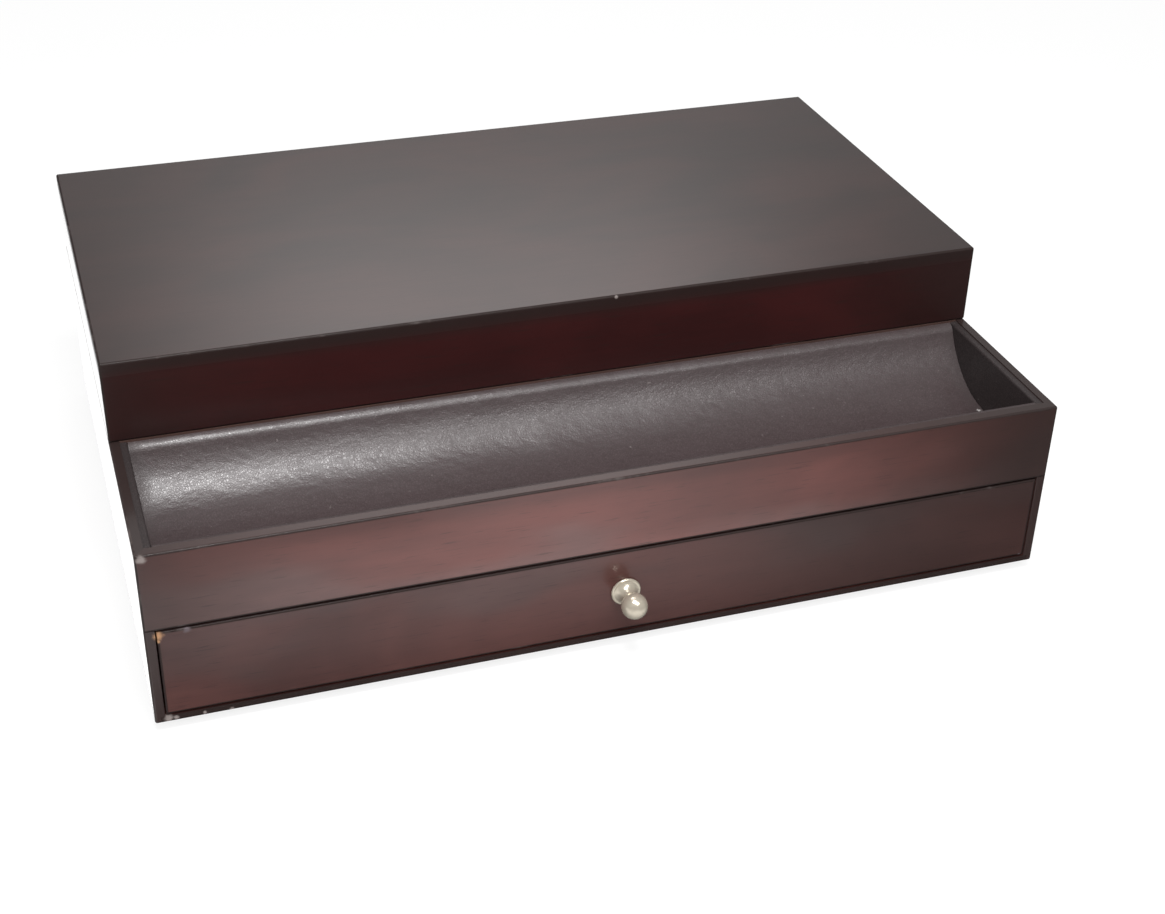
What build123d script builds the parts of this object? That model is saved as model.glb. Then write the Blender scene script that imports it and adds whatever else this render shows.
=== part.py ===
from build123d import *
import math
import os

# Watch box with a hinged lid, a lined pen tray along its front and a drawer underneath.
# Sizes are in millimetres. X runs along the front, +Y goes to the back and +Z is up.
# The box stands on z = 0. The origin lies under the middle of its whole length,
# from the tip of the drawer knob to the back.

# Overall sizes
CASE_WIDTH = 321.0
CASE_DEPTH = 230.0
OVERALL_HEIGHT = 100.0
LID_HEIGHT = 30.0
LID_DEPTH = 161.0
EDGE_SOFTNESS = 0.8
MOUTH_SOFTNESS = 0.4

# Boards of the case
SIDE_BOARD = 3.5
RAIL_BOARD = 4.0
RAIL_HEIGHT = 29.0
BACK_BOARD = 9.0
BASE_BOARD = 2.5
BASE_REBATE = 1.5
DECK_BOARD = 5.0
PARTITION_BOARD = 6.0

# Boards of the lid
LID_WALL = 6.0
LID_PANEL = 5.0
LID_LINING = 1.5
LID_LINING_GAP = 0.5

# Rubber feet
FOOT_HEIGHT = 4.0
FOOT_RADIUS = 6.5
FOOT_TIP_RADIUS = 5.5
FOOT_INSET = 17.0
FOOT_EDGE = 0.8

# Lined pen tray
TRAY_DROP = 0.5
TRAY_SHELL = 2.5
TRAY_REAR_FLAT = 0.6
TRAY_REAR_ROLL = 3.4
TRAY_FRONT_FLANGE = 2.4
TRAY_FRONT_LIP = 1.0
TRAY_END_BOARD = 2.5
TRAY_END_DROP = 0.5
TRAY_END_GAP = 0.1

# Lined bay for the watches
LINER_BOARD = 2.5
LINER_DROP = 1.5
LINER_LIP = 0.8
BAY_PAD = 1.5
DIVIDER_BOARD = 2.5
DIVIDER_DROP = 4.0
DIVIDER_FIT = 0.1
BAY_COLUMNS = 5
BAY_ROWS = 2

# Watch cushions
CUSHION_SIDE_GAP = 1.6
CUSHION_END_GAP = 1.6
CUSHION_HEIGHT = 38.0
CUSHION_CROWN = 3.0
CUSHION_TOP_ROUND = 13.0
CUSHION_FOOT_ROUND = 6.0
CUSHION_END_INSET = 4.0
CUSHION_END_BULGE = 3.0
CUSHION_WAIST = 1.0

# Lid hinges, let into the back edges, with a bevel behind them that stops the lid
HINGE_LENGTH = 32.0
HINGE_FROM_SIDE = 55.5
HINGE_INSET = 2.0
HINGE_KNUCKLES = 5
KNUCKLE_RADIUS = 2.0
KNUCKLE_GAP = 0.25
LEAF_REACH = 6.4
LEAF_THICKNESS = 1.0
LEAF_SINK = 0.1
LEAF_FIT = 0.1
PIN_RADIUS = 1.0
PIN_RUNNING_GAP = 0.04
PIN_HEAD_RADIUS = 1.5
PIN_HEAD_HEIGHT = 0.5
LID_OPENS = 95.0
STOP_PLAY = 0.4

# Countersunk wood screws of the hinges
SCREW_SPACING = 18.0
SCREW_SHANK_RADIUS = 0.8
SCREW_HEAD_RADIUS = 1.4
SCREW_HEAD_HEIGHT = 0.8
SCREW_LENGTH = 7.0
SCREW_FIT = 0.05
SLOT_WIDTH = 0.5
SLOT_DEPTH = 0.35

# Drawer
DRAWER_FRONT_BOARD = 10.0
DRAWER_FRONT_SIDE_GAP = 0.4
DRAWER_FRONT_TOP_GAP = 0.8
DRAWER_FRONT_FOOT_GAP = 0.8
DRAWER_SOFTNESS = 0.5
DRAWER_RUN_GAP = 0.2
DRAWER_BOX_SIDE_GAP = 0.6
DRAWER_SIDE_BOARD = 5.0
DRAWER_BACK_BOARD = 6.0
DRAWER_LAP = 6.0
DRAWER_BOTTOM_BOARD = 2.5
DRAWER_BOTTOM_RISE = 2.5
GROOVE_DEPTH = 2.5
GROOVE_FIT = 0.1
DRAWER_PAD = 1.5
DRAWER_TRAVEL = 165.0
DRAWER_CLOSED_GAP = 0.3
STOP_HEIGHT = 3.0
STOP_WIDTH = 6.0
STOP_LENGTH = 120.0
STOP_GAP = 0.3

# Knob and its screw
KNOB_FLANGE_RADIUS = 5.3
KNOB_FLANGE = 1.3
KNOB_NECK_RADIUS = 2.4
KNOB_COVE_RADIUS = 4.4
KNOB_BALL_RADIUS = 4.6
KNOB_BALL_CENTRE = 9.3
KNOB_SCREW_RADIUS = 1.9
KNOB_SCREW_BITE = 6.0
KNOB_SCREW_HEAD_RADIUS = 3.5
KNOB_SCREW_HEAD = 2.2
KNOB_SCREW_FIT = 0.05
KNOB_HOLE_GAP = 0.2

# Places worked out from the sizes above
HALF_WIDTH = CASE_WIDTH / 2
KNOB_REACH = KNOB_BALL_CENTRE + KNOB_BALL_RADIUS
FRONT = (KNOB_REACH - CASE_DEPTH) / 2
BACK = FRONT + CASE_DEPTH
RIM = OVERALL_HEIGHT - LID_HEIGHT
RAIL_FOOT = RIM - RAIL_HEIGHT
DECK_TOP = RAIL_FOOT + DECK_BOARD
BASE_TOP = FOOT_HEIGHT + BASE_BOARD
INNER_X = HALF_WIDTH - SIDE_BOARD
INNER_FRONT = FRONT + RAIL_BOARD
INNER_BACK = BACK - BACK_BOARD
LID_FRONT = BACK - LID_DEPTH
LID_INNER_X = HALF_WIDTH - LID_WALL
LID_INNER_FRONT = LID_FRONT + LID_WALL
LID_CEILING = OVERALL_HEIGHT - LID_PANEL
TRAY_LEVEL = RIM - TRAY_DROP
BAY_X = INNER_X - LINER_BOARD
BAY_FRONT = LID_FRONT + PARTITION_BOARD + LINER_BOARD
BAY_BACK = INNER_BACK - LINER_BOARD
BAY_FLOOR = DECK_TOP + BAY_PAD
LINER_TOP = RIM - LINER_DROP
DIVIDER_TOP = RIM - DIVIDER_DROP
POCKET_WIDTH = (2 * BAY_X - (BAY_COLUMNS - 1) * DIVIDER_BOARD) / BAY_COLUMNS
POCKET_LENGTH = (BAY_BACK - BAY_FRONT - (BAY_ROWS - 1) * DIVIDER_BOARD) / BAY_ROWS
HINGE_AXIS = BACK - HINGE_INSET
DRAWER_BOX_X = INNER_X - DRAWER_BOX_SIDE_GAP
DRAWER_INNER_X = DRAWER_BOX_X - DRAWER_SIDE_BOARD
DRAWER_BOX_FOOT = BASE_TOP + DRAWER_RUN_GAP
DRAWER_BOX_TOP = RAIL_FOOT - STOP_HEIGHT - DRAWER_FRONT_TOP_GAP
DRAWER_FRONT_FOOT = BASE_TOP + DRAWER_FRONT_FOOT_GAP
DRAWER_FRONT_TOP = RAIL_FOOT - DRAWER_FRONT_TOP_GAP
DRAWER_INNER_FRONT = FRONT + DRAWER_FRONT_BOARD
DRAWER_REAR = INNER_BACK - DRAWER_CLOSED_GAP
DRAWER_INNER_REAR = DRAWER_REAR - DRAWER_BACK_BOARD
DRAWER_BOTTOM = DRAWER_BOX_FOOT + DRAWER_BOTTOM_RISE
DRAWER_FLOOR = DRAWER_BOTTOM + DRAWER_BOTTOM_BOARD
KNOB_Z = (DRAWER_FRONT_FOOT + DRAWER_FRONT_TOP) / 2
OVERCUT = 1.0


def slab(x0, x1, y0, y1, z0, z1):
    """A block between two opposite corners."""
    block = Box(x1 - x0, y1 - y0, z1 - z0)
    return Pos((x0 + x1) / 2, (y0 + y1) / 2, (z0 + z1) / 2) * block


def upright_prism(points, z0, z1):
    """A prism on a plan outline."""
    outline = make_face(Polyline(*points, close=True))
    return Pos(0, 0, z0) * extrude(outline, z1 - z0)


def bar_along_x(points, x0, x1):
    """A bar along X on an outline of (y, z) points."""
    outline = make_face(Polyline(*points, close=True))
    return extrude(Plane.YZ.offset(x0) * outline, x1 - x0)


def rod_along_x(x0, x1, y, z, radius):
    """A round rod along X."""
    rod = Rot(0, 90, 0) * Cylinder(radius, x1 - x0)
    return Pos((x0 + x1) / 2, y, z) * rod


def rod_along_y(x, y0, y1, z, radius):
    """A round rod along Y."""
    rod = Rot(90, 0, 0) * Cylinder(radius, y1 - y0)
    return Pos(x, (y0 + y1) / 2, z) * rod


def edges_near(shape, direction, **place):
    """The edges that run along a direction and pass through a place such as y=0, z=10."""
    return ShapeList(
        edge
        for edge in shape.edges().filter_by(direction)
        if all(abs(getattr(edge.center(), axis.upper()) - at) < 0.01 for axis, at in place.items())
    )


def save(name, shape):
    """Write one sub-part."""
    export_step(shape, f"parts/{name}.step")


def stop_bevel(up):
    """The wedge cut from the back of a joint edge, up from it or down, so that the open lid rests on it."""
    slope = math.tan(math.radians((LID_OPENS + STOP_PLAY) / 2))
    out = BACK + OVERCUT
    drop = up * (out - HINGE_AXIS) * slope
    return bar_along_x(
        [(HINGE_AXIS, RIM), (out, RIM), (out, RIM + drop)],
        -HALF_WIDTH - OVERCUT,
        HALF_WIDTH + OVERCUT,
    )


def split_at_mitres(shell, inner_x, front, inner_front, front_z, foot, top):
    """Part a frame of boards at its corners into its front, back, left and right boards."""
    front_wedge = upright_prism(
        [(-HALF_WIDTH, front), (HALF_WIDTH, front), (inner_x, inner_front), (-inner_x, inner_front)],
        front_z,
        top,
    )
    back_wedge = upright_prism(
        [(HALF_WIDTH, BACK), (-HALF_WIDTH, BACK), (-inner_x, INNER_BACK), (inner_x, INNER_BACK)],
        foot,
        top,
    )
    sides = shell - front_wedge - back_wedge
    left = sides & slab(-HALF_WIDTH, 0, front, BACK, foot, top)
    right = sides & slab(0, HALF_WIDTH, front, BACK, foot, top)
    return shell & front_wedge, shell & back_wedge, left, right


def base_space():
    """The room that the base board takes, with the rebates that hold its edges."""
    edge_x = INNER_X + BASE_REBATE
    return slab(-edge_x, edge_x, FRONT, INNER_BACK + BASE_REBATE, FOOT_HEIGHT, BASE_TOP)


def hinge_centres():
    """The two places of the hinges along the back."""
    reach = HALF_WIDTH - HINGE_FROM_SIDE
    return {"left": -reach, "right": reach}


def screw_places():
    """Where every hinge screw goes: x, and y on the flat of the leaf."""
    flat_edge = HINGE_AXIS - KNUCKLE_RADIUS - KNUCKLE_GAP
    y = (HINGE_AXIS - LEAF_REACH + flat_edge) / 2
    return {
        side: [(x + step, y) for step in (-SCREW_SPACING / 2, SCREW_SPACING / 2)]
        for side, x in hinge_centres().items()
    }


def leaf_face(up):
    """Height of the open face of a hinge leaf, above the joint or below it."""
    return RIM + up * LEAF_SINK


def hinge_mortises(up):
    """The recesses for both hinges in the edge above the joint or below it, with their screw holes."""
    half = HINGE_LENGTH / 2 + LEAF_FIT
    floor = leaf_face(up) + up * LEAF_THICKNESS
    cuts = []
    for side, x in hinge_centres().items():
        cuts.append(
            slab(x - half, x + half, HINGE_AXIS - LEAF_REACH - LEAF_FIT, BACK, min(RIM, floor), max(RIM, floor))
        )
        barrel_half = half + PIN_HEAD_HEIGHT
        cuts.append(
            rod_along_x(x - barrel_half, x + barrel_half, HINGE_AXIS, RIM, KNUCKLE_RADIUS + KNUCKLE_GAP)
        )
        for screw_x, screw_y in screw_places()[side]:
            hole = Cylinder(SCREW_SHANK_RADIUS + SCREW_FIT, SCREW_LENGTH)
            cuts.append(Pos(screw_x, screw_y, leaf_face(up) + up * SCREW_LENGTH / 2) * hole)
    return cuts


def case_boards():
    """The front rail, the back and the two sides, mitred, and the base board let in from below."""
    block = slab(-HALF_WIDTH, HALF_WIDTH, FRONT, BACK, FOOT_HEIGHT, RIM)
    block = fillet(block.edges(), EDGE_SOFTNESS)
    hollow = slab(-INNER_X, INNER_X, INNER_FRONT, INNER_BACK, FOOT_HEIGHT, RIM)
    mouth = slab(-INNER_X, INNER_X, FRONT, INNER_FRONT, FOOT_HEIGHT, RAIL_FOOT)
    shell = block - hollow - mouth - base_space() - stop_bevel(-1)
    rail, back, left, right = split_at_mitres(
        shell, INNER_X, FRONT, INNER_FRONT, RAIL_FOOT, FOOT_HEIGHT, RIM
    )
    rail = fillet(edges_near(rail, Axis.X, y=FRONT, z=RAIL_FOOT), MOUTH_SOFTNESS)
    back = back - hinge_mortises(-1)
    save("front_rail", rail)
    save("back_panel", back)
    save("side_panel_left", fillet(edges_near(left, Axis.Z, x=-INNER_X, y=FRONT), MOUTH_SOFTNESS))
    save("side_panel_right", fillet(edges_near(right, Axis.Z, x=INNER_X, y=FRONT), MOUTH_SOFTNESS))
    save("base_board", block & base_space())


def inner_boards():
    """The deck over the drawer, and the partition between the tray and the watches."""
    save("deck_board", slab(-INNER_X, INNER_X, INNER_FRONT, INNER_BACK, RAIL_FOOT, DECK_TOP))
    rear = LID_FRONT + PARTITION_BOARD
    save("partition", slab(-INNER_X, INNER_X, LID_FRONT, rear, DECK_TOP, RIM))


def feet():
    """Four rubber feet under the corners of the base board."""
    foot = Pos(0, 0, FOOT_HEIGHT / 2) * Cone(FOOT_TIP_RADIUS, FOOT_RADIUS, FOOT_HEIGHT)
    foot = chamfer(foot.edges().group_by(Axis.Z)[0], FOOT_EDGE)
    reach_x = HALF_WIDTH - FOOT_INSET
    for end, y in {"front": FRONT + FOOT_INSET, "back": BACK - FOOT_INSET}.items():
        for side, x in {"left": -reach_x, "right": reach_x}.items():
            save(f"foot_{end}_{side}", Pos(x, y, 0) * foot)


def pen_tray():
    """The lined trough, with a flange in front and a rolled lip behind, and the lined boards at its ends."""
    tray_x = INNER_X - TRAY_END_BOARD
    lip_front = INNER_FRONT + TRAY_FRONT_FLANGE
    lip_rear = LID_FRONT - TRAY_REAR_FLAT - TRAY_REAR_ROLL
    middle = (lip_front + lip_rear) / 2
    half_chord = (lip_rear - lip_front) / 2
    depth = TRAY_LEVEL - TRAY_SHELL - DECK_TOP
    radius = (half_chord**2 + depth**2) / (2 * depth)
    centre_z = TRAY_LEVEL - depth + radius
    end_x = tray_x - TRAY_END_GAP
    flanges = slab(-end_x, end_x, INNER_FRONT, LID_FRONT, TRAY_LEVEL - TRAY_SHELL, TRAY_LEVEL)
    room = slab(-end_x, end_x, INNER_FRONT, LID_FRONT, DECK_TOP, TRAY_LEVEL)
    bowl = rod_along_x(-end_x, end_x, middle, centre_z, radius + TRAY_SHELL) & room
    trough = bowl + flanges - rod_along_x(-end_x, end_x, middle, centre_z, radius)
    trough = fillet(edges_near(trough, Axis.X, y=lip_front, z=TRAY_LEVEL), TRAY_FRONT_LIP)
    roll_radius = TRAY_REAR_ROLL * half_chord / depth
    save("tray_trough", fillet(edges_near(trough, Axis.X, y=lip_rear, z=TRAY_LEVEL), roll_radius))
    top = RIM - TRAY_END_DROP
    left = slab(-INNER_X, -tray_x, INNER_FRONT, LID_FRONT, DECK_TOP, top)
    right = slab(tray_x, INNER_X, INNER_FRONT, LID_FRONT, DECK_TOP, top)
    save("tray_end_left", fillet(edges_near(left, Axis.Y, x=-tray_x, z=top), LINER_LIP))
    save("tray_end_right", fillet(edges_near(right, Axis.Y, x=tray_x, z=top), LINER_LIP))


def bay_lining():
    """The padded floor and the four lined boards of the watch bay."""
    wall_front = LID_FRONT + PARTITION_BOARD
    front = slab(-INNER_X, INNER_X, wall_front, BAY_FRONT, DECK_TOP, LINER_TOP)
    back = slab(-INNER_X, INNER_X, BAY_BACK, INNER_BACK, DECK_TOP, LINER_TOP)
    left = slab(-INNER_X, -BAY_X, BAY_FRONT, BAY_BACK, DECK_TOP, LINER_TOP)
    right = slab(BAY_X, INNER_X, BAY_FRONT, BAY_BACK, DECK_TOP, LINER_TOP)
    save("bay_liner_front", fillet(edges_near(front, Axis.X, y=BAY_FRONT, z=LINER_TOP), LINER_LIP))
    save("bay_liner_back", fillet(edges_near(back, Axis.X, y=BAY_BACK, z=LINER_TOP), LINER_LIP))
    save("bay_liner_left", fillet(edges_near(left, Axis.Y, x=-BAY_X, z=LINER_TOP), LINER_LIP))
    save("bay_liner_right", fillet(edges_near(right, Axis.Y, x=BAY_X, z=LINER_TOP), LINER_LIP))
    save("bay_floor_pad", slab(-BAY_X, BAY_X, BAY_FRONT, BAY_BACK, DECK_TOP, BAY_FLOOR))


def divider_places(start, pocket, count):
    """The near faces of the dividers that part a length into equal pockets."""
    return [start + (i + 1) * pocket + i * DIVIDER_BOARD for i in range(count - 1)]


def bay_dividers():
    """Dividers across the bay and along it, halved into each other."""
    half_height = (BAY_FLOOR + DIVIDER_TOP) / 2
    across = divider_places(-BAY_X, POCKET_WIDTH, BAY_COLUMNS)
    along = divider_places(BAY_FRONT, POCKET_LENGTH, BAY_ROWS)
    round_top = DIVIDER_BOARD / 2 - DIVIDER_FIT
    for number, x in enumerate(across, 1):
        board = slab(x, x + DIVIDER_BOARD, BAY_FRONT, BAY_BACK, BAY_FLOOR, DIVIDER_TOP)
        board = fillet(board.edges().filter_by(Axis.Y).group_by(Axis.Z)[-1], round_top)
        for y in along:
            board -= slab(
                x, x + DIVIDER_BOARD, y - DIVIDER_FIT, y + DIVIDER_BOARD + DIVIDER_FIT, BAY_FLOOR, half_height
            )
        save(f"cross_divider_{number}", board)
    for number, y in enumerate(along, 1):
        board = slab(-BAY_X, BAY_X, y, y + DIVIDER_BOARD, BAY_FLOOR, DIVIDER_TOP)
        board = fillet(board.edges().filter_by(Axis.X).group_by(Axis.Z)[-1], round_top)
        for x in across:
            board -= slab(
                x - DIVIDER_FIT, x + DIVIDER_BOARD + DIVIDER_FIT, y, y + DIVIDER_BOARD, half_height, DIVIDER_TOP
            )
        save("long_divider" if len(along) == 1 else f"long_divider_{number}", board)


def cushion_section(x, inset):
    """One outline across a cushion: a flat foot, upright ends and a crowned top, drawn in by inset."""
    half = POCKET_LENGTH / 2 - CUSHION_END_GAP - inset
    shoulder = CUSHION_HEIGHT - CUSHION_CROWN - inset
    sides = Polyline((-half, shoulder), (-half, inset / 2), (half, inset / 2), (half, shoulder))
    crown = ThreePointArc((half, shoulder), (0, CUSHION_HEIGHT - inset), (-half, shoulder))
    outline = make_face(sides + crown)
    outline = fillet(outline.vertices().group_by(Axis.Y)[-1], CUSHION_TOP_ROUND)
    outline = fillet(outline.vertices().group_by(Axis.Y)[0], CUSHION_FOOT_ROUND)
    return Plane.YZ.offset(x) * outline


def watch_cushions():
    """A crowned cushion with drawn-in ends in every pocket of the bay."""
    half = POCKET_WIDTH / 2 - CUSHION_SIDE_GAP
    stations = [
        (-half, CUSHION_END_INSET),
        (CUSHION_END_BULGE - half, CUSHION_WAIST),
        (0, 0),
        (half - CUSHION_END_BULGE, CUSHION_WAIST),
        (half, CUSHION_END_INSET),
    ]
    cushion = loft([cushion_section(x, inset) for x, inset in stations], ruled=True)
    number = 0
    for row in range(BAY_ROWS):
        y = BAY_FRONT + row * (POCKET_LENGTH + DIVIDER_BOARD) + POCKET_LENGTH / 2
        for column in range(BAY_COLUMNS):
            x = -BAY_X + column * (POCKET_WIDTH + DIVIDER_BOARD) + POCKET_WIDTH / 2
            number += 1
            save(f"watch_cushion_{number}", Pos(x, y, BAY_FLOOR) * cushion)


def lid_boards():
    """The mitred frame of the lid, its top panel and the lining under it."""
    block = slab(-HALF_WIDTH, HALF_WIDTH, LID_FRONT, BACK, RIM, OVERALL_HEIGHT)
    block = fillet(block.edges(), EDGE_SOFTNESS)
    panel_space = slab(-HALF_WIDTH, HALF_WIDTH, LID_FRONT, BACK, LID_CEILING, OVERALL_HEIGHT)
    hollow = slab(-LID_INNER_X, LID_INNER_X, LID_INNER_FRONT, INNER_BACK, RIM, LID_CEILING)
    frame = block - panel_space - hollow - stop_bevel(1)
    front, back, left, right = split_at_mitres(
        frame, LID_INNER_X, LID_FRONT, LID_INNER_FRONT, RIM, RIM, LID_CEILING
    )
    save("lid_top", block & panel_space)
    save("lid_front", front)
    save("lid_back", back - hinge_mortises(1))
    save("lid_left", left)
    save("lid_right", right)
    edge_x = LID_INNER_X - LID_LINING_GAP
    lining = slab(
        -edge_x,
        edge_x,
        LID_INNER_FRONT + LID_LINING_GAP,
        INNER_BACK - LID_LINING_GAP,
        LID_CEILING - LID_LINING,
        LID_CEILING,
    )
    save("lid_lining", lining)


def knuckle_spans(x):
    """Where each knuckle of a hinge begins and ends along X."""
    pitch = HINGE_LENGTH / HINGE_KNUCKLES
    start = x - HINGE_LENGTH / 2
    return [
        (start + i * pitch + KNUCKLE_GAP / 2, start + (i + 1) * pitch - KNUCKLE_GAP / 2)
        for i in range(HINGE_KNUCKLES)
    ]


def hinge_leaf(side, up):
    """One leaf: a plate with every other knuckle, a bore for the pin and countersunk holes."""
    x = hinge_centres()[side]
    face = leaf_face(up)
    seat = face + up * LEAF_THICKNESS
    low, high = min(face, seat), max(face, seat)
    x0, x1 = x - HINGE_LENGTH / 2, x + HINGE_LENGTH / 2
    leaf = slab(x0, x1, HINGE_AXIS - LEAF_REACH, HINGE_AXIS, low, high)
    leaf -= rod_along_x(x0, x1, HINGE_AXIS, RIM, KNUCKLE_RADIUS + KNUCKLE_GAP)
    first = 0 if up < 0 else 1
    for start, end in knuckle_spans(x)[first::2]:
        web_y = HINGE_AXIS - KNUCKLE_RADIUS - KNUCKLE_GAP * 2
        leaf += slab(start, end, web_y, HINGE_AXIS, low, high)
        leaf += rod_along_x(start, end, HINGE_AXIS, RIM, KNUCKLE_RADIUS)
    leaf -= rod_along_x(x0, x1, HINGE_AXIS, RIM, PIN_RADIUS + PIN_RUNNING_GAP)
    for screw_x, screw_y in screw_places()[side]:
        leaf -= hinge_screw(screw_x, screw_y, up, SCREW_FIT)
    return leaf


def hinge_screw(x, y, up, fit=0.0):
    """A countersunk screw driven away from the joint, or with a fit the room that it needs."""
    shank_length = SCREW_LENGTH - SCREW_HEAD_HEIGHT
    tip_length = SCREW_SHANK_RADIUS * 2
    head = Cone(SCREW_HEAD_RADIUS + fit, SCREW_SHANK_RADIUS + fit, SCREW_HEAD_HEIGHT)
    shank = Cylinder(SCREW_SHANK_RADIUS + fit, shank_length - tip_length)
    tip = Cone(SCREW_SHANK_RADIUS + fit, 0, tip_length)
    screw = Pos(0, 0, SCREW_HEAD_HEIGHT / 2) * head
    screw += Pos(0, 0, SCREW_HEAD_HEIGHT + (shank_length - tip_length) / 2) * shank
    screw += Pos(0, 0, SCREW_LENGTH - tip_length / 2) * tip
    if fit == 0:
        slot_x = SCREW_HEAD_RADIUS
        screw -= slab(-slot_x, slot_x, -SLOT_WIDTH / 2, SLOT_WIDTH / 2, 0, SLOT_DEPTH)
    return Pos(x, y, leaf_face(up)) * Rot(180 if up < 0 else 0, 0, 0) * screw


def hinges():
    """Two butt hinges, each of two leaves on a headed pin, and their screws."""
    for side, x in hinge_centres().items():
        save(f"hinge_case_leaf_{side}", hinge_leaf(side, -1))
        save(f"hinge_lid_leaf_{side}", hinge_leaf(side, 1))
        x0 = knuckle_spans(x)[0][0]
        x1 = knuckle_spans(x)[-1][1]
        pin = rod_along_x(x0, x1, HINGE_AXIS, RIM, PIN_RADIUS)
        pin += rod_along_x(x0 - PIN_HEAD_HEIGHT, x0, HINGE_AXIS, RIM, PIN_HEAD_RADIUS)
        pin += rod_along_x(x1, x1 + PIN_HEAD_HEIGHT, HINGE_AXIS, RIM, PIN_HEAD_RADIUS)
        save(f"hinge_pin_{side}", pin)
    for name, up in {"case_hinge_screws": -1, "lid_hinge_screws": 1}.items():
        places = [place for row in screw_places().values() for place in row]
        save(name, Compound(children=[hinge_screw(px, py, up) for px, py in places]))


def groove_space():
    """The room that the grooves give to the edges of the drawer's bottom."""
    edge_x = DRAWER_INNER_X + GROOVE_DEPTH
    foot = DRAWER_BOTTOM - GROOVE_FIT
    return slab(
        -edge_x, edge_x, DRAWER_INNER_FRONT - GROOVE_DEPTH, DRAWER_REAR, foot, DRAWER_FLOOR
    )


def drawer_boards():
    """The drawer: a front lapped over two sides, a taller back, and a bottom held in grooves."""
    front_x = INNER_X - DRAWER_FRONT_SIDE_GAP
    lap_y = DRAWER_INNER_FRONT - DRAWER_LAP
    front = slab(-front_x, front_x, FRONT, DRAWER_INNER_FRONT, DRAWER_FRONT_FOOT, DRAWER_FRONT_TOP)
    front = fillet(front.edges().group_by(Axis.Y)[0], DRAWER_SOFTNESS)
    for x0, x1 in ((-front_x, -DRAWER_INNER_X), (DRAWER_INNER_X, front_x)):
        front -= slab(x0, x1, lap_y, DRAWER_INNER_FRONT, DRAWER_FRONT_FOOT, DRAWER_FRONT_TOP)
    front -= groove_space()
    hole = KNOB_SCREW_RADIUS + KNOB_HOLE_GAP
    front -= rod_along_y(0, FRONT, DRAWER_INNER_FRONT, KNOB_Z, hole)
    save("drawer_front", front)
    left = slab(-DRAWER_BOX_X, -DRAWER_INNER_X, lap_y, DRAWER_REAR, DRAWER_BOX_FOOT, DRAWER_BOX_TOP)
    right = slab(DRAWER_INNER_X, DRAWER_BOX_X, lap_y, DRAWER_REAR, DRAWER_BOX_FOOT, DRAWER_BOX_TOP)
    save("drawer_side_left", left - groove_space())
    save("drawer_side_right", right - groove_space())
    back = slab(
        -DRAWER_INNER_X, DRAWER_INNER_X, DRAWER_INNER_REAR, DRAWER_REAR, DRAWER_FLOOR, DRAWER_FRONT_TOP
    )
    save("drawer_back", back)
    edge_x = DRAWER_INNER_X + GROOVE_DEPTH - GROOVE_FIT
    edge_y = DRAWER_INNER_FRONT - GROOVE_DEPTH + GROOVE_FIT
    save("drawer_bottom", slab(-edge_x, edge_x, edge_y, DRAWER_REAR, DRAWER_BOTTOM, DRAWER_FLOOR))
    pad = slab(
        -DRAWER_INNER_X,
        DRAWER_INNER_X,
        DRAWER_INNER_FRONT,
        DRAWER_INNER_REAR,
        DRAWER_FLOOR,
        DRAWER_FLOOR + DRAWER_PAD,
    )
    save("drawer_floor_pad", pad)


def drawer_stop():
    """A strip under the deck that catches the taller back of the drawer at its full travel."""
    rear = DRAWER_INNER_REAR - DRAWER_TRAVEL - STOP_GAP
    foot = RAIL_FOOT - STOP_HEIGHT
    save("drawer_stop", slab(-STOP_LENGTH / 2, STOP_LENGTH / 2, rear - STOP_WIDTH, rear, foot, RAIL_FOOT))


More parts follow.
